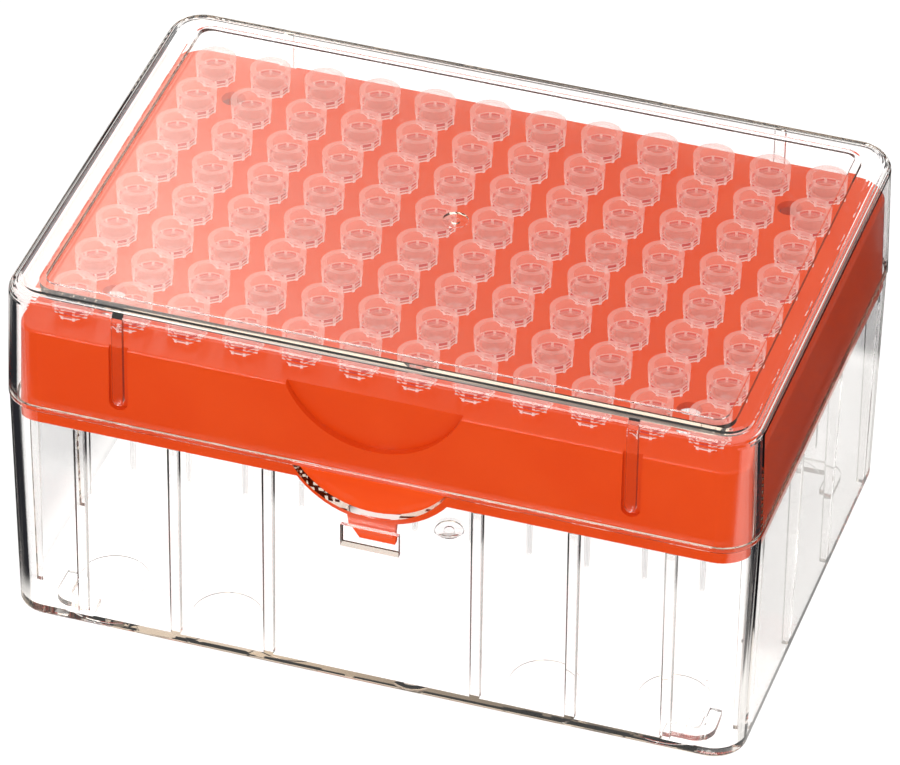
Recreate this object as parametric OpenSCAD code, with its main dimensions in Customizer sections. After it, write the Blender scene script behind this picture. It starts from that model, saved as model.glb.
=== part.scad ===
// Box of pipette tips: a clear base, an orange tray of 96 tips and a clear lift-off lid.
// Millimetres. The origin is under the middle of the base, +X along the long side,
// +Y to the back and +Z up. The finger notch and the catch window are at the front, -Y.

/* [Tip grid] */
// Distance between neighbouring tips, centre to centre
tip_pitch = 9; // [8:0.1:11]

/* [Tips] */
// Whole length of a tip
tip_l = 31.8; // [25:0.1:38]
// Height of the collar that stands on the deck
collar_h = 3.8; // [3.6:0.1:6]
// Height of the plain band at the top of the collar
band_h = 2.3; // [1.4:0.1:3]
// Outer radius of the band
band_r = 3.2; // [3.1:0.05:3.9]
// How much the band narrows downwards
band_taper = 0.06; // [0:0.01:0.1]
// Corner radius of the ten-sided skirt below the band
skirt_r = 2.9; // [2.8:0.05:3.2]
// Wall of that skirt
skirt_wall = 0.3; // [0.25:0.05:0.4]
// Distance from the tip's axis to the outer edge of a fin
fin_reach = 3.08; // [2.9:0.01:3.5]
// Thickness of a fin
fin_t = 0.42; // [0.3:0.02:0.6]
// Radius of the bore that takes the pipette's cone
bore_r = 1.85; // [1.5:0.05:1.9]
// Depth at which the straight bore ends
bore_end = 4.5; // [3:0.1:6]
// Length of the slow taper under the bore
taper_l = 4.7; // [3:0.1:6]
// Outer radius at the lower end of that taper
taper_r = 1.9; // [1.6:0.05:2]
// Length of the steep neck under the taper
neck_l = 5; // [3:0.1:6]
// Outer radius at the lower end of the neck
neck_r = 0.88; // [0.7:0.02:1.1]
// Length of the stem between the neck and the end
stem_l = 7.7; // [5:0.1:8]
// Outer radius at the lower end of the stem
stem_r = 0.48; // [0.44:0.01:0.6]
// Radius of the bore's mouth
mouth_r = 2.35; // [2:0.05:2.6]
// Depth of the conical lead-in under the mouth
mouth_h = 1.2; // [0.6:0.1:1.6]
// Wall of the tip's tube
tube_wall = 0.4; // [0.3:0.05:0.45]
// Outer radius of the tip's lower end
end_r = 0.38; // [0.3:0.01:0.44]
// Radius of the outlet
outlet_r = 0.18; // [0.1:0.01:0.25]

/* [Tray] */
// Height of the tray, from the lower edge of its skirt to the deck
tray_h = 16.4; // [13:0.1:20]
// Thickness of the deck
deck_t = 1.2; // [0.8:0.1:2]
// Wall of the tray's skirt
tray_wall = 1; // [0.8:0.05:1.4]
// Corner radius of the skirt at its lower edge
tray_r = 4.4; // [3:0.1:6]
// How far the corner centres lie past the outer tips, lengthwise
corner_past_x = 3.3; // [2:0.05:5]
// How far the corner centres lie past the outer tips, crosswise
corner_past_y = 3.1; // [2:0.05:5]
// Rounding of the deck's edge
deck_round = 0.5; // [0.2:0.05:0.8]
// Radius of the four locating holes
locating_r = 1.9; // [1:0.1:2.2]
// Radius of the half-round thumb recess in the front
thumb_r = 14.8; // [10:0.1:18]
// Depth of the thumb recess
thumb_depth = 1; // [0.5:0.1:1.4]
// Height of the recess's centre over the deck
thumb_rise = 5.5; // [3:0.1:8]
// Width of the grooves that take the lid's ribs
groove_w = 3; // [2.4:0.1:3.6]
// Depth of those grooves
groove_depth = 0.65; // [0.4:0.05:0.9]

/* [Catch] */
// Width of the catch's tongue where it leaves the lobe
tongue_w = 7.8; // [6:0.1:10]
// Width of the tongue at its lower end
tongue_end_w = 7; // [5:0.1:9]
// Length of the tongue below the lobe
tongue_l = 4; // [3:0.1:5]
// Height of the tongue's slanted corner
tongue_slant = 2; // [1:0.1:3]
// Width of the slanted corner of the tongue
tongue_corner = 1.4; // [0.6:0.1:2]
// How far the barb stands out of the tongue
barb_depth = 0.7; // [0.4:0.05:0.9]
// Height of the barb
barb_h = 2; // [1:0.1:2.5]
// Distance from the barb to the tongue's square corner
barb_inset = 0.3; // [0.1:0.1:1]
// Width of the window
window_w = 9.2; // [8:0.1:12]
// Height of the window
window_h = 4; // [3:0.1:5]
// Distance from the tray's lobe down to the window
window_drop = 0.9; // [0.6:0.1:2]

/* [Base] */
// Wall of the base
base_wall = 1.45; // [0.9:0.05:1.8]
// Thickness of the floor
floor_t = 1.4; // [1:0.1:2]
// Height from the underside of the floor to the rib tops that carry the tray
seat_h = 37.1; // [34:0.1:48]
// Height of the base's rim over the rib tops
rim_h = 2.8; // [2:0.1:5]
// Chamfer on the rim's outer edge
rim_chamfer = 0.2; // [0.1:0.05:0.4]
// Radius of the finger notch in the front of the rim
notch_r = 13.9; // [10:0.1:18]
// Depth of the finger notch
notch_drop = 7.2; // [4:0.1:8]
// Thickness of the upright ribs
rib_t = 1.55; // [1.2:0.05:2.2]
// How far the ribs reach in under the tray's skirt
rib_reach = 0.6; // [0.3:0.1:1]
// Distance from the middle to the first rib of the front and back walls
rib_first_x = 16.45; // [16:0.1:18]
// Spacing of the ribs on the front and back walls
rib_pitch_x = 15; // [12:0.1:16]
// Spacing of the ribs on the end walls
rib_pitch_y = 21.4; // [16:0.1:22]
// Rounding of the lower edge
base_round = 0.8; // [0.3:0.1:1.2]
// Height of the stacking feet
foot_h = 1; // [0.6:0.1:1.5]
// Width of the rib that forms a foot
foot_t = 2.2; // [1.4:0.1:3]
// Length of each leg of a foot
foot_l = 7.2; // [5:0.1:10]
// Outer corner radius of a foot
foot_r = 3; // [2.4:0.1:4]
// Radius of the ejector marks in the floor
ejector_r = 5.5; // [3:0.1:6]
// Depth of the ejector marks
ejector_depth = 0.12; // [0.05:0.01:0.2]
// Distance of the outer ejector marks from the middle, lengthwise
ejector_outer_x = 45; // [36:0.5:47]
// Distance of the outer ejector marks from the middle, crosswise
ejector_outer_y = 28.5; // [20:0.5:30]
// Distance of the inner ejector marks from the middle, lengthwise
ejector_inner_x = 25.5; // [12:0.5:30]
// Distance of the inner ejector marks from the middle, crosswise
ejector_inner_y = 31.5; // [20:0.5:32]
// Radius of the dome over the moulding gate
dome_r = 2.6; // [2:0.1:3.5]
// Height of that dome over the floor
dome_h = 0.6; // [0.3:0.05:1]

/* [Lid] */
// Wall of the lid
lid_wall = 1.2; // [0.9:0.05:1.5]
// How much the lid's wall thickens inwards at its lower edge
lid_rim = 0.3; // [0.2:0.05:0.8]
// Height of that thickening
lid_rim_h = 0.5; // [0.3:0.1:1.5]
// Height of its square foot
lid_rim_foot = 0.1; // [0.05:0.05:0.3]
// Thickness of the lid's top
top_t = 1.4; // [1:0.1:2]
// Room between the tips and the lid
headroom = 1.2; // [0.4:0.1:2]
// Depth of the stacking panel in the lid's top
panel_depth = 0.85; // [0.5:0.05:1.2]
// Corner radius of the stacking panel
panel_r = 2; // [1:0.1:4]
// How far the panel's plate reaches under the raised border
panel_rim = 1; // [0.5:0.1:1.5]
// Width of the raised border round the panel, at the ends
border_x = 5.5; // [4:0.1:7]
// Width of that border at the front and the back
border_y = 4.4; // [3.6:0.1:6]
// Rounding of the lid's top edge
lid_round = 2.4; // [1:0.1:3]
// Fillet inside that edge
lid_fillet = 1.2; // [0.4:0.1:2]
// Width of the guide ribs
guide_w = 1.7; // [1.2:0.1:2.2]
// Distance from the middle of the box to the guide ribs
guide_x = 40; // [30:0.5:44]
// Length of the guide ribs' lower end that is left clear over the lid's edge
guide_clear = 3.3; // [2:0.1:6]
// Radius of the dimple round a moulding gate
gate_r = 2; // [1.2:0.1:2.4]
// Depth of that dimple
gate_depth = 0.4; // [0.2:0.05:0.6]
// Radius of the nub where the gate broke off
nub_r = 0.7; // [0.4:0.05:1]
// Height of that nub, as a share of the dimple's depth
nub_share = 0.75; // [0.5:0.05:0.9]

/* [Fits] */
// Draft of every upright wall, in degrees
draft = 1.2; // [0.5:0.1:2]
// Gap between the tray's skirt and the base's rim
tray_gap = 0.2; // [0.1:0.05:0.4]
// Gap between the tray's skirt and the lid
lid_gap = 0.3; // [0.2:0.05:0.6]
// How far the tray's lobe reaches past the finger notch
lobe_margin = 1; // [0.6:0.1:3]
// How far the lobe's centre lies below the notch's centre
lobe_sink = 0.6; // [0:0.1:1]
// Gap between a tip's tube and its hole in the deck
tip_gap = 0.1; // [0.05:0.05:0.2]
// Gap between the tongue and the wall in front of it, and over the barb
catch_gap = 0.2; // [0.1:0.05:0.4]
// Gap between a guide rib and the bottom of its groove
guide_gap = 0.3; // [0.2:0.05:0.5]
// Gap between a guide rib's lower end and the end of its groove
guide_end_gap = 1; // [0.5:0.1:2]
// Gap between the feet of one box and the panel of the box below
stack_gap = 0.4; // [0.2:0.05:0.8]

/* [Hidden] */
$fn = 64;

tip_columns = 12;
tip_rows = 8;
fin_count = 10;
// Overlap of joined shapes, and how far a cut runs out of the material
tiny = 0.01;
over = 1;
slope = tan(draft);

// The three shells share their corner centres, and differ in radius alone
corner_x = tip_pitch * (tip_columns - 1) / 2 + corner_past_x;
corner_y = tip_pitch * (tip_rows - 1) / 2 + corner_past_y;

// Heights
floor_z = foot_h + floor_t;
seat_z = foot_h + seat_h;
rim_z = seat_z + rim_h;
deck_z = seat_z + tray_h;
tip_rim_z = deck_z + collar_h;
panel_under_z = tip_rim_z + headroom;
panel_z = panel_under_z + top_t;
lid_top_z = panel_z + panel_depth;
border_under_z = lid_top_z - top_t;

// Radii round the corner centres, at the level of the rim or the seat
rim_in_r = tray_r + tray_gap;
rim_out_r = rim_in_r + base_wall;
lid_in_r = tray_r + lid_gap;
lid_rim_r = lid_in_r + lid_rim + lid_wall;

// Outer radius of each drafted wall at a height
function base_out(z) = rim_out_r - (rim_z - z) * slope;
function tray_out(z) = tray_r - (z - seat_z) * slope;
function lid_out(z) = lid_rim_r - (z - rim_z) * slope;

// Points of an arc from angle a to angle b
function arc(x, z, r, a, b, steps = 6) =
    [for (i = [0:steps]) [x + r * cos(a + (b - a) * i / steps), z + r * sin(a + (b - a) * i / steps)]];

// A wall section, drawn as radius and height, carried round the four corner centres
module round_the_box() {
    for (i = [0:3]) {
        reach = i % 2 == 0 ? [corner_x, corner_y] : [corner_y, corner_x];
        rotate(90 * i) translate([reach[0], reach[1], 0]) {
            rotate_extrude(angle = 90) children();
            rotate([90, 0, 0]) linear_extrude(2 * reach[1]) children();
        }
    }
}

// The flat plate between the corner centres
module middle_plate(z, thickness) {
    translate([-corner_x, -corner_y, z]) cube([2 * corner_x, 2 * corner_y, thickness]);
}

// A rectangle with round corners, given by its half sizes
module round_rectangle(half_x, half_y, r) {
    square([2 * half_x, 2 * (half_y - r)], center = true);
    square([2 * (half_x - r), 2 * half_y], center = true);
    for (x = [-1, 1], y = [-1, 1]) translate([x * (half_x - r), y * (half_y - r)]) circle(r);
}

// A flat shape in X and Z at the front, from radius r_in out to radius r_out
module at_front(r_in, r_out) {
    translate([0, -corner_y - r_in, 0]) rotate([90, 0, 0]) linear_extrude(r_out - r_in) children();
}

// ---- base box ----

notch_z = rim_z - notch_drop + notch_r;
lobe_z = notch_z - lobe_sink;
lobe_r = notch_r + lobe_margin;
rib_in_r = tray_r - tray_wall - rib_reach;
window_z = lobe_z - lobe_r - window_drop;
panel_x = corner_x + lid_out(lid_top_z) - border_x;
panel_y = corner_y + lid_out(lid_top_z) - border_y;
foot_x = panel_x - stack_gap;
foot_y = panel_y - stack_gap;

module base_section() {
    low = base_out(foot_h + base_round) - base_round / cos(draft);
    polygon(concat(
        [[0, foot_h]],
        arc(low, foot_h + base_round, base_round, -90, -draft),
        [[base_out(rim_z - rim_chamfer), rim_z - rim_chamfer]],
        [[rim_out_r - rim_chamfer, rim_z], [rim_in_r, rim_z]],
        [[base_out(floor_z) - base_wall, floor_z], [0, floor_z]]));
}

// One upright rib on the wall at distance reach, standing on the floor and carrying the tray
module base_rib(reach) {
    translate([reach + rib_in_r, -rib_t / 2, floor_z - tiny])
        cube([base_out(floor_z) - base_wall / 2 - rib_in_r, rib_t, seat_z - floor_z + tiny]);
}

module base_ribs() {
    for (side = [-1, 1], i = [0:2], end = [-1, 1])
        translate([side * (rib_first_x + i * rib_pitch_x), 0, 0]) rotate(90 * end) base_rib(corner_y);
    for (side = [0, 180], y = [-1.5:1.5]) rotate(side) translate([0, y * rib_pitch_y, 0]) base_rib(corner_x);
}

module stacking_feet() {
    linear_extrude(foot_h + tiny) intersection() {
        difference() {
            round_rectangle(foot_x, foot_y, foot_r);
            round_rectangle(foot_x - foot_t, foot_y - foot_t, foot_r - foot_t);
        }
        for (x = [-1, 1], y = [-1, 1])
            translate([x * (foot_x - foot_l / 2), y * (foot_y - foot_l / 2)]) square(foot_l, center = true);
    }
}

module ejector_marks() {
    places = [[ejector_outer_x, ejector_outer_y], [ejector_inner_x, ejector_inner_y]];
    for (side = [-1, 1], end = [-1, 1], place = places)
        translate([side * place[0], end * place[1], floor_z - ejector_depth]) cylinder(r = ejector_r, h = over);
}

// Low dome on the floor that keeps the wall's thickness over the gate's dimple
module gate_dome() {
    ball_r = (dome_r * dome_r + dome_h * dome_h) / (2 * dome_h);
    translate([0, 0, floor_z + dome_h - ball_r]) rotate_extrude() intersection() {
        circle(ball_r, $fn = 256);
        translate([0, ball_r - dome_h - tiny]) square([dome_r, dome_h + over]);
    }
}

// Dimple that goes depth deep into the face at z = 0 from the side of +Z, with the gate's nub in it
module gate_dimple(depth) {
    difference() {
        translate([0, 0, -depth]) cylinder(r = gate_r, h = depth + over);
        translate([0, 0, -depth - over]) cylinder(r = nub_r, h = over + depth * nub_share);
    }
}

module base_box() color([0.86, 0.9, 0.93, 0.4]) {
    difference() {
        union() {
            round_the_box() base_section();
            middle_plate(foot_h, floor_t);
            base_ribs();
            stacking_feet();
            gate_dome();
        }
        at_front(rib_in_r, rim_out_r + over) translate([0, notch_z]) circle(notch_r, $fn = 128);
        at_front(rib_in_r, rim_out_r + over)
            translate([-window_w / 2, window_z - window_h]) square([window_w, window_h]);
        ejector_marks();
        translate([0, 0, foot_h]) mirror([0, 0, 1]) gate_dimple(gate_depth);
    }
}

// ---- tip tray ----

hole_r = bore_r + tube_wall + tip_gap;
lobe_out_r = base_out(window_z - window_h) - base_wall - catch_gap;
groove_in_r = tray_out(deck_z) - groove_depth;
groove_z = rim_z + guide_clear - guide_end_gap;
thumb_in_r = tray_out(deck_z) - thumb_depth;

module tray_section() {
    edge = tray_out(deck_z - deck_round) - deck_round / cos(draft);
    polygon(concat(
        [[0, deck_z - deck_t], [tray_out(deck_z - deck_t) - tray_wall, deck_z - deck_t]],
        [[tray_r - tray_wall, seat_z], [tray_r, seat_z]],
        arc(edge, deck_z - deck_round, deck_round, draft, 90),
        [[0, deck_z]]));
}

module tip_holes() {
    for (x = [0:tip_columns - 1], y = [0:tip_rows - 1])
        translate([tip_x(x), tip_y(y), deck_z - deck_t - over]) cylinder(r = hole_r, h = deck_t + 2 * over);
    for (x = [tip_x(0.5), tip_x(tip_columns - 1.5)], y = [tip_y(0.5), tip_y(tip_rows - 1.5)])
        translate([x, y, deck_z - deck_t - over]) cylinder(r = locating_r, h = deck_t + 2 * over);
}

// A groove seen from the front, with a round lower end
module groove_outline(width, low, high) {
    translate([0, low + width / 2]) circle(d = width);
    translate([-width / 2, low + width / 2]) square([width, high - low - width / 2]);
}

// The same flat shape at both guide ribs, at the front and the back
module at_guides(r_in, r_out) {
    for (side = [-1, 1], turn = [0, 180])
        rotate(turn) translate([side * guide_x, 0, 0]) at_front(r_in, r_out) children();
}

// Tongue of the catch, with one slanted corner, and the barb on its outer face
module tongue() {
    root = lobe_z - lobe_r + over;
    low = lobe_z - lobe_r - tongue_l;
    barb_left = tongue_corner - tongue_end_w / 2;
    barb_top = window_z - catch_gap;
    at_front(lobe_out_r - tray_wall, lobe_out_r) polygon([[-tongue_w / 2, root], [tongue_w / 2, root],
        [tongue_end_w / 2, low], [barb_left, low], [-tongue_end_w / 2, low + tongue_slant]]);
    translate([barb_left, -corner_y - lobe_out_r, barb_top])
        rotate([90, 0, 90]) linear_extrude(tongue_end_w - tongue_corner - barb_inset)
            polygon([[tiny, 0], [-barb_depth, 0], [tiny, -barb_h]]);
}

module tip_tray() color([0.91, 0.29, 0.05]) {
    difference() {
        union() {
            round_the_box() tray_section();
            middle_plate(deck_z - deck_t, deck_t);
            // lobe that closes the base's notch, and the wall behind the recess and the grooves
            at_front(lobe_out_r - tray_wall, lobe_out_r) intersection() {
                translate([0, lobe_z]) circle(lobe_r, $fn = 128);
                translate([-lobe_r, seat_z - lobe_r]) square([2 * lobe_r, lobe_r + over]);
            }
            at_front(thumb_in_r - tray_wall, tray_out(deck_z) - deck_round) intersection() {
                translate([0, deck_z + thumb_rise]) circle(thumb_r + tray_wall, $fn = 128);
                translate([-2 * thumb_r, deck_z - deck_t - thumb_r])
                    square([4 * thumb_r, thumb_r + deck_t / 2]);
            }
            at_guides(groove_in_r - tray_wall, tray_out(deck_z) - deck_round)
                groove_outline(groove_w + 2 * tray_wall, groove_z - tray_wall, deck_z - deck_t / 2);
            tongue();
        }
        tip_holes();
        at_front(thumb_in_r, tray_r + over) translate([0, deck_z + thumb_rise]) circle(thumb_r, $fn = 128);
        at_guides(groove_in_r, tray_r + over) groove_outline(groove_w, groove_z, deck_z + over);
    }
}

// ---- lid ----

module lid_section() {
    edge = lid_out(lid_top_z - lid_round) - lid_round / cos(draft);
    inner = lid_out(border_under_z - lid_fillet) - lid_wall - lid_fillet / cos(draft);
    polygon(concat(
        [[lid_in_r, rim_z], [lid_rim_r, rim_z]],
        arc(edge, lid_top_z - lid_round, lid_round, draft, 90),
        [[0, lid_top_z], [0, border_under_z]],
        arc(inner, border_under_z - lid_fillet, lid_fillet, 90, draft),
        [[lid_out(rim_z + lid_rim_h) - lid_wall, rim_z + lid_rim_h], [lid_in_r, rim_z + lid_rim_foot]]));
}

module lid() color([0.86, 0.9, 0.93, 0.35]) {
    difference() {
        union() {
            round_the_box() lid_section();
            middle_plate(border_under_z, top_t);
            translate([0, 0, panel_under_z]) linear_extrude(top_t)
                round_rectangle(panel_x + panel_rim, panel_y + panel_rim, panel_r + panel_rim);
            at_guides(groove_in_r + guide_gap, lid_out(border_under_z) - lid_wall + tiny)
                groove_outline(guide_w, rim_z + guide_clear, border_under_z + tiny);
        }
        translate([0, 0, panel_z]) linear_extrude(panel_depth + over) round_rectangle(panel_x, panel_y, panel_r);
        translate([0, 0, panel_z]) gate_dimple(gate_depth);
    }
}

// ---- tips ----

function tip_x(column) = (column - (tip_columns - 1) / 2) * tip_pitch;
function tip_y(row) = ((tip_rows - 1) / 2 - row) * tip_pitch;

// One tip, hanging from the middle of its rim
module tip() {
    tube_r = bore_r + tube_wall;
    taper_z = bore_end + taper_l;
    neck_z = taper_z + neck_l;
    stem_z = neck_z + stem_l;
    difference() {
        union() {
            rotate_extrude() polygon([[0, 0], [band_r, 0], [band_r - band_taper, -band_h], [tube_r, -band_h],
                [tube_r, -collar_h], [taper_r, -taper_z], [neck_r, -neck_z],
                [stem_r, -stem_z], [end_r, -tip_l], [0, -tip_l]]);
            collar_skirt();
            collar_fins();
        }
        rotate_extrude() polygon([[0, over], [mouth_r, over], [mouth_r, 0], [bore_r, -mouth_h], [bore_r, -bore_end],
            [taper_r - tube_wall, -taper_z], [neck_r - tube_wall, -neck_z],
            [outlet_r, -stem_z], [outlet_r, -tip_l - over], [0, -tip_l - over]]);
    }
}

// Ten-sided skirt on which the tip stands on the deck
module collar_skirt() {
    translate([0, 0, -collar_h]) linear_extrude(collar_h - band_h + tiny) difference() {
        circle(skirt_r, $fn = fin_count);
        circle(skirt_r * cos(180 / fin_count) - skirt_wall);
    }
}

// Upright fins on the corners of the skirt
module collar_fins() {
    for (i = [0:fin_count - 1]) rotate(360 / fin_count * i)
        translate([skirt_r - skirt_wall, -fin_t / 2, -collar_h])
            cube([fin_reach - skirt_r + skirt_wall, fin_t, collar_h - band_h + tiny]);
}

module tips_column(column) color([0.96, 0.88, 0.86, 0.8]) {
    for (row = [0:tip_rows - 1]) translate([tip_x(column), tip_y(row), tip_rim_z]) tip();
}

base_box();
tip_tray();
lid();
for (i = [1:tip_columns]) tips_column(i - 1);
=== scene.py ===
"""Looks of a box of pipette tips: a clear base, an orange tray of 96 tips and a clear lift-off lid."""

import math

import bpy
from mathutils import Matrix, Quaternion, Vector


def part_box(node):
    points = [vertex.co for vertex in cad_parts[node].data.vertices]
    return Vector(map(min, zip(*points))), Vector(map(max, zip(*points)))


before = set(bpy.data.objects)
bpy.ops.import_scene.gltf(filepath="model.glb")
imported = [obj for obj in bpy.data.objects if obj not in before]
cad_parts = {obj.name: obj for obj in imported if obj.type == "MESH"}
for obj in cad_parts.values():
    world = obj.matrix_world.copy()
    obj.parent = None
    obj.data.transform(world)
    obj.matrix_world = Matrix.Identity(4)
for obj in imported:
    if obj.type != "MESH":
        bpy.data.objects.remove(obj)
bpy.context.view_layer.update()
MM = 0.001


# ---- Camera ----
# A long lens looks down on the front right corner from more than a metre away, so that the
# edges of the box stay nearly parallel.
VIEW_AIM = Vector((3.60, -12.92, 40.20)) * MM
VIEW_AZIMUTH = math.radians(17.46)
VIEW_ELEVATION = math.radians(36.82)
VIEW_ROLL = math.radians(0.912)
VIEW_DISTANCE = 1104.4 * MM
VIEW_LENS = 292.2  # on a sensor 36 mm wide

towards_camera = Vector((
    math.sin(VIEW_AZIMUTH) * math.cos(VIEW_ELEVATION),
    -math.cos(VIEW_AZIMUTH) * math.cos(VIEW_ELEVATION),
    math.sin(VIEW_ELEVATION),
))
camera_data = bpy.data.cameras.new("camera")
camera_data.lens = VIEW_LENS
camera_data.sensor_width = 36.0
camera = bpy.data.objects.new("camera", camera_data)
camera.rotation_mode = "QUATERNION"
camera.rotation_quaternion = towards_camera.to_track_quat("Z", "Y") @ Quaternion((0, 0, 1), VIEW_ROLL)
camera.location = VIEW_AIM + towards_camera * VIEW_DISTANCE
bpy.context.scene.collection.objects.link(camera)
bpy.context.scene.camera = camera


# ---- Tray ----
# The tray is one moulding of opaque orange polypropylene, with a faint grain from the mould
# and a soft gloss. It sits on the ribs of the base and carries the tips.
class Value:
    """A shader socket that takes part in Python arithmetic: each operator adds its Math node."""

    def __init__(self, surface, socket):
        self.surface, self.socket = surface, socket

    def maths(self, operation, first, second):
        return self.surface.add("Math", {"operation": operation}, first, second)

    def __add__(self, other):
        return self.maths("ADD", self, other)

    def __sub__(self, other):
        return self.maths("SUBTRACT", self, other)

    def __rsub__(self, other):
        return self.maths("SUBTRACT", other, self)

    def __mul__(self, other):
        return self.maths("MULTIPLY", self, other)

    def __truediv__(self, other):
        return self.maths("DIVIDE", self, other)

    def __pow__(self, other):
        return self.maths("POWER", self, other)

    __radd__, __rmul__ = __add__, __mul__

    def most(self, other):
        return self.maths("MAXIMUM", self, other)

    def least(self, other):
        return self.maths("MINIMUM", self, other)

    def step(self, low, high):
        """Rises smoothly from 0 at low to 1 at high."""
        return self.surface.add("MapRange", {"interpolation_type": "SMOOTHSTEP"}, self, low, high, 0.0, 1.0)

    def between(self, low, high, soft):
        """Is 1 between low and high, and falls to 0 over the width soft past each."""
        return self.step(low - soft, low) * (1.0 - self.step(high, high + soft))


class Surface:
    """A material and the nodes in it."""

    def __init__(self, name):
        self.owner = bpy.data.materials.new(name)
        self.clear("ShaderNodeOutputMaterial")

    def clear(self, output_kind):
        self.owner.use_nodes = True
        self.tree = self.owner.node_tree
        self.tree.nodes.clear()
        self.output = self.tree.nodes.new(output_kind)

    def put(self, socket, value):
        if isinstance(value, Value):
            self.tree.links.new(value.socket, socket)
        elif value is not None:
            socket.default_value = (*value, 1.0) if socket.type == "RGBA" and len(value) == 3 else value

    def add(self, kind, settings=None, *values, out=0, **named):
        """Adds a node: its settings first, then its inputs in order or by name."""
        node = self.tree.nodes.new("ShaderNode" + kind)
        for setting, value in (settings or {}).items():
            setattr(node, setting, value)
        for socket, value in zip(node.inputs, values):
            self.put(socket, value)
        for name, value in named.items():
            self.put(node.inputs[name.replace("_", " ")], value)
        return Value(self, node.outputs[out])

    def blend(self, share, first, second):
        """Mixes two colours."""
        node = self.add("Mix", {"data_type": "RGBA"}, share, out=2)
        self.put(node.socket.node.inputs[6], first)
        self.put(node.socket.node.inputs[7], second)
        return node

    def ray(self, kind):
        """A number from the Light Path node."""
        return self.add("LightPath", out=kind)

    def lighting_ray(self):
        """Is 1 for rays that only carry light from lamps or from scattering surfaces."""
        return self.ray("Is Shadow Ray").most(self.ray("Is Diffuse Ray"))

    def mirrored_ray(self):
        """Is 1 for rays that a surface has mirrored on their way from the camera."""
        return self.add("Math", {"operation": "GREATER_THAN"}, self.ray("Glossy Depth"), 0.5)

    def object_axes(self, axes, unit=1.0):
        """Places on the piece along the axes, in metres divided by the unit."""
        spot = self.add("TexCoord", None, out="Object")
        places = [self.add("SeparateXYZ", None, spot, out=axis) for axis in axes]
        return places if unit == 1.0 else [place * (1 / unit) for place in places]

    def finish(self, shader, volume=None):
        self.tree.links.new(shader.socket, self.output.inputs["Surface"])
        if volume is not None:
            self.tree.links.new(volume.socket, self.output.inputs["Volume"])
        return self.owner


def srgb(red, green, blue):
    """A screen colour of 0 to 255 as linear light."""
    parts = (red / 255, green / 255, blue / 255)
    return tuple(part / 12.92 if part <= 0.04045 else ((part + 0.055) / 1.055) ** 2.4 for part in parts)


def coat(node, material):
    """Gives a CAD node its finish."""
    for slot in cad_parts[node].material_slots:
        slot.material = material


ORANGE = srgb(222, 67, 5)
tray = Surface("orange_polypropylene")
spot = tray.add("TexCoord", None, out="Object")
flow = tray.add("TexNoise", None, spot, Scale=55.0, Detail=3.0, Roughness=0.55)
grain = tray.add("TexNoise", None, spot, Scale=5200.0, Detail=2.0)
coat("tip_tray", tray.finish(tray.add(
    "BsdfPrincipled", None, IOR=1.49,
    Base_Color=tray.blend(flow.step(0.35, 0.65), ORANGE, srgb(225, 71, 7)),
    Roughness=0.17 + 0.05 * flow,
    Normal=tray.add("Bump", None, 0.12, 0.00002, Height=grain))))


# ---- Tips ----
# Each tip is natural polypropylene, which lets light through and scatters a little of it. Thin
# edges, fins and the foot are painted near white as highlight, the low windows between the fins
# are painted dark red as shade, and the collar's pink is painted orange light from the tray.
# Sizes are in millimetres, from a tip's axis outwards and from its rim downwards.
TIP_PITCH = 9.0
COLLAR_H = 3.8
BAND_H = 2.3
SKIRT_R = 2.9
SKIRT_SIDES = 10
TUBE_R = 2.25
WALL_COVER, BORE_COVER, STEM_COVER = 0.28, 0.14, 0.07  # share of a wall that is not clear
tip_rim_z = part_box("tips_column_01")[1][2] / MM
tip_finish = Surface("natural_polypropylene")
x, y, z = tip_finish.object_axes("XYZ", MM)
half = TIP_PITCH / 2
from_x, from_y = (
    tip_finish.add("Math", {"operation": "WRAP"}, place - half, half, -half) for place in (x, y))
away = (from_x * from_x + from_y * from_y) ** 0.5
depth = tip_rim_z - z
collar = 1.0 - depth.step(COLLAR_H, COLLAR_H + 0.1)
rim = 1.0 - depth.step(0.02, 0.12)
bore = 1.0 - away.step(TUBE_R - 0.1, TUBE_R + 0.15)
throat = depth.between(3.0, 9.0, 1.0) * (1.0 - away.step(TUBE_R + 0.05, TUBE_R + 0.15))
side = SKIRT_R * math.cos(math.pi / SKIRT_SIDES)
skirt = depth.between(BAND_H + 0.02, COLLAR_H + 0.02, 0.05)
fin = skirt * away.step(SKIRT_R - 0.02, SKIRT_R + 0.03)
foot = depth.between(COLLAR_H - 0.2, COLLAR_H + 0.02, 0.06) * away.step(side - 0.06, side - 0.02)
nub = depth.between(COLLAR_H - 0.45, COLLAR_H + 0.02, 0.05) * away.step(SKIRT_R + 0.02, SKIRT_R + 0.08)
shell = away.between(side - 0.04, SKIRT_R - 0.03, 0.02)
# The windows under the band are marked for painted shade: dark red, and more opaque.
window_shade = depth.between(BAND_H + 0.04, BAND_H + 0.7, 0.06) * shell
ledge = depth.between(BAND_H + 0.8, BAND_H + 0.92, 0.06) * shell
edge = tip_finish.add("LayerWeight", None, 0.5, out="Facing")
# Foot, nubs, a ledge line under the windows, fins and rim get a painted highlight: near white, and more
# opaque.
painted_highlight = foot.most(nub).most(ledge * 0.8).most(fin * 0.7).most(rim * 0.1)
wall_cover = WALL_COVER - (WALL_COVER - BORE_COVER) * bore
slanting = edge ** 3.0
cover = (wall_cover + 0.4 * slanting).most(painted_highlight * 0.95).most(rim * 0.34).most(window_shade * 0.75)
cover = (cover * collar + (STEM_COVER + 0.5 * slanting) * (1.0 - collar)).most(throat * 0.6)
# The collar's pink stands in for orange light that the tray throws on the whitish plastic, a painted
# reflection; the windows get painted shade in dark red.
colour = tip_finish.blend(window_shade, srgb(255, 196, 184), srgb(206, 62, 66))
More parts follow.
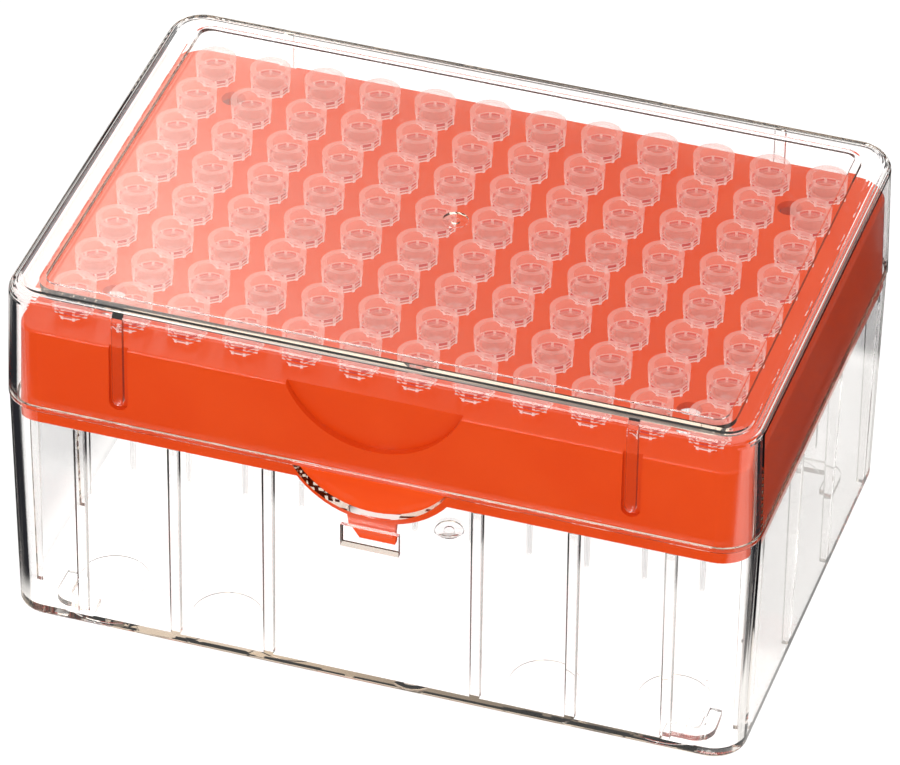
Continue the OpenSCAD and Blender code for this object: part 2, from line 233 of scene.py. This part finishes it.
# Inside the tray's hole the tube is painted salmon, a painted reflection of the orange tray around it.
colour = tip_finish.blend(throat, colour, srgb(226, 120, 100))
# The painted highlight makes these places near white.
colour = tip_finish.blend(painted_highlight, colour, srgb(255, 244, 240))
# Below the collar the stems are painted grey, a painted shade for their place under the tray.
colour = tip_finish.blend(collar.most(throat), srgb(150, 150, 152), colour)
skin = tip_finish.add("BsdfPrincipled", None, Base_Color=colour, Roughness=0.12, IOR=1.49)
glow_through = tip_finish.add("BsdfTranslucent", None, Color=colour)
body = tip_finish.add("MixShader", None, 0.4 * collar * (1.0 - painted_highlight), skin, glow_through)
clear_way = tip_finish.add("BsdfTransparent", None)
lamp_cover = cover * (1.0 - 0.85 * tip_finish.lighting_ray())
coat_tip = tip_finish.finish(tip_finish.add("MixShader", None, lamp_cover, clear_way, body))
for column in range(1, 13):
    coat(f"tips_column_{column:02d}", coat_tip)


# ---- Clear base and lid ----
# Both are injection-moulded polystyrene, polished and colourless, with a faint warm tint in
# depth. The lid's lower edge touches the base's rim, and only the lid's face is kept there.
POLYSTYRENE_IOR = 1.59
TINT, TINT_DENSITY = (0.71, 0.46, 0.16), 10.0
TOUCH_DEPTH = 0.03  # millimetres each side of the touching faces


def clear_plastic(name, touching=None):
    """The face at the height touching, in millimetres, is left to the piece that rests on it."""
    clear = Surface(name)
    there = None
    if touching is not None:
        height, = clear.object_axes("Z", MM)
        there = 1.0 - height.between(touching - TOUCH_DEPTH, touching + TOUCH_DEPTH, 0.01)
    glass = clear.add("BsdfPrincipled", None, Base_Color=(1.0, 1.0, 1.0), Roughness=0.0, IOR=POLYSTYRENE_IOR,
                      Transmission_Weight=1.0, Alpha=there)
    open_way = clear.add("BsdfTransparent", None, Color=(0.97, 0.97, 0.97))
    depth = clear.add("VolumeAbsorption", None, Color=TINT, Density=TINT_DENSITY)
    return clear.finish(clear.add("MixShader", None, clear.lighting_ray(), glass, open_way), depth)


lid_edge_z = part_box("lid")[0][2] / MM
coat("base_box", clear_plastic("clear_polystyrene_base", lid_edge_z))
coat("lid", clear_plastic("clear_polystyrene_lid"))


# ---- Stage ----
# The box stands on a white light table in a dim studio. Straight through the clear plastic all
# is white, and what its edges mirror is dark, but for some bright places.
THROUGH = 1.35  # brightness of the studio as seen through the plastic
DARK, LIGHT = (0.02, 0.02, 0.024), (0.9, 0.88, 0.85)
BRIGHT = (1.7, 1.68, 1.65)
DAYLIGHT = (1.3, 1.3, 1.3)
FAR = 3000.0  # half the width of the light table, in millimetres
TABLE_GLOW = 1.1
MATT_SHARE = 0.15  # the share of the table's surface that shows the box's shadow
HORIZON = (0.19, 0.27)  # the sine of the elevation where the dark of the studio ends
scene = bpy.context.scene


def studio_view(surface, mirrored_colour):
    """What is seen of the studio: white straight through, dim by way of a reflection."""
    passed = surface.ray("Is Transmission Ray")
    seen = surface.ray("Is Camera Ray").most(surface.ray("Is Glossy Ray")).most(passed)
    through = surface.blend(passed, (1.0, 1.0, 1.0), (THROUGH, THROUGH, THROUGH))
    return seen, surface.blend(surface.mirrored_ray(), through, mirrored_colour)


def flat_board(name, west, east, low, high, scale=1.0):
    """A rectangle in the plane of its own X and Y axes."""
    mesh = bpy.data.meshes.new(name)
    corners = ((west, low), (east, low), (east, high), (west, high))
    mesh.from_pydata([(x * scale, y * scale, 0.0) for x, y in corners], [], [(0, 1, 2, 3)])
    board = bpy.data.objects.new(name, mesh)
    scene.collection.objects.link(board)
    return board


floor = flat_board("light_table", -FAR, FAR, -FAR, FAR, MM)
floor.location.z = -0.2 * MM
table = Surface("light_table")
across, deep = table.object_axes("XY", MM)


def place_on_table(west, east, south, north, soft=6.0):
    """Is 1 on a rectangle of the light table, in millimetres."""
    return across.between(west, east, soft) * deep.between(south, north, soft)


# Black cards lie far behind the box, in front of it, under it, at its left and at its right.
cards = place_on_table(-FAR, FAR, 330, FAR, 40.0)
for sides in ((-FAR, FAR, -FAR, -80), (-50, 50, -28, 30), (-145, -65, -44, 22), (56, 130, 70, 170),
              (74, 130, -22, 70)):
    cards = cards.most(place_on_table(*sides))
# A grey card lies close to the right wall, and a bright place behind the box.
mirrored = table.blend(0.3 * place_on_table(52, 72, -8, 62), table.blend(cards, LIGHT, DARK), DARK)
mirrored = table.blend(place_on_table(-100, 40, 68, 160, 8.0), mirrored, BRIGHT)
seen, view = studio_view(table, mirrored)
matt = table.add("BsdfDiffuse", None, Color=(0.85, 0.85, 0.85))
glow = table.add("Emission", None, Color=view, Strength=TABLE_GLOW)
glowing_share = seen * ((1.0 - MATT_SHARE) + MATT_SHARE * table.mirrored_ray())
floor.data.materials.append(table.finish(table.add("MixShader", None, glowing_share, matt, glow)))


class Sky(Surface):
    """A world and the nodes in it."""

    def __init__(self, name):
        self.owner = bpy.data.worlds.new(name)
        self.clear("ShaderNodeOutputWorld")


sky = Sky("studio")
scene.world = sky.owner
direction = sky.add("TexCoord", None, out="Generated")
height = sky.add("SeparateXYZ", None, direction, out="Z")
seen, view = studio_view(sky, sky.blend(height.step(*HORIZON), DARK, (1.0, 1.0, 1.0)))
sky.finish(sky.add("Background", None, Color=sky.blend(seen, DAYLIGHT, view), Strength=1.0))

# The key soft box shines from the front left on the orange front.
KEY_PLACE, KEY_AIM = Vector((-0.5, -1.2, 0.9)), Vector((0, 0, 0.03))
lamp = bpy.data.lights.new("key", "AREA")
lamp.shape, lamp.size, lamp.size_y, lamp.energy = "RECTANGLE", 0.5, 0.4, 4.0
key = bpy.data.objects.new("key", lamp)
key.location = KEY_PLACE
key.rotation_euler = (KEY_AIM - KEY_PLACE).to_track_quat("-Z", "Y").to_euler()
key.visible_camera = key.visible_glossy = False
scene.collection.objects.link(key)

# The panel hangs where the lid's top mirrors it, bright on the left and dim on the right. Only
# reflections show it.
PANEL_WAY = Vector((-0.24, 0.764, 0.599)).normalized()
PANEL_DISTANCE = 0.6
PANEL_DIM, PANEL_BRIGHT = 0.26, 1.8
FADE_START, FADE_WIDTH = -0.07, 0.14
panel = flat_board("soft_panel", -0.5, 0.5, -0.06, 0.4)
panel.rotation_euler = (-PANEL_WAY).to_track_quat("Z", "Y").to_euler()
panel.location = Vector((0, 0, 0.07)) + PANEL_WAY * PANEL_DISTANCE
panel.visible_camera = panel.visible_diffuse = panel.visible_shadow = False
light = Surface("soft_panel")
along, = light.object_axes("X")
fade = (1.0 - (along - FADE_START) / FADE_WIDTH).most(0.0).least(1.0) ** 3.0
glow = light.add("Emission", None, Color=(1.0, 0.95, 0.87), Strength=PANEL_DIM + PANEL_BRIGHT * fade)
clear_way = light.add("BsdfTransparent", None)
panel.data.materials.append(light.finish(light.add("MixShader", None, light.mirrored_ray(), clear_way, glow)))


# ---- Render ---- Light crosses up to four clear walls and 12 tips, so it
# needs many bounces.
CLEAR_BOUNCES = 24
scene.cycles.max_bounces = scene.cycles.glossy_bounces = scene.cycles.transmission_bounces = CLEAR_BOUNCES
scene.cycles.transparent_max_bounces = 64
scene.view_settings.view_transform = "Standard"
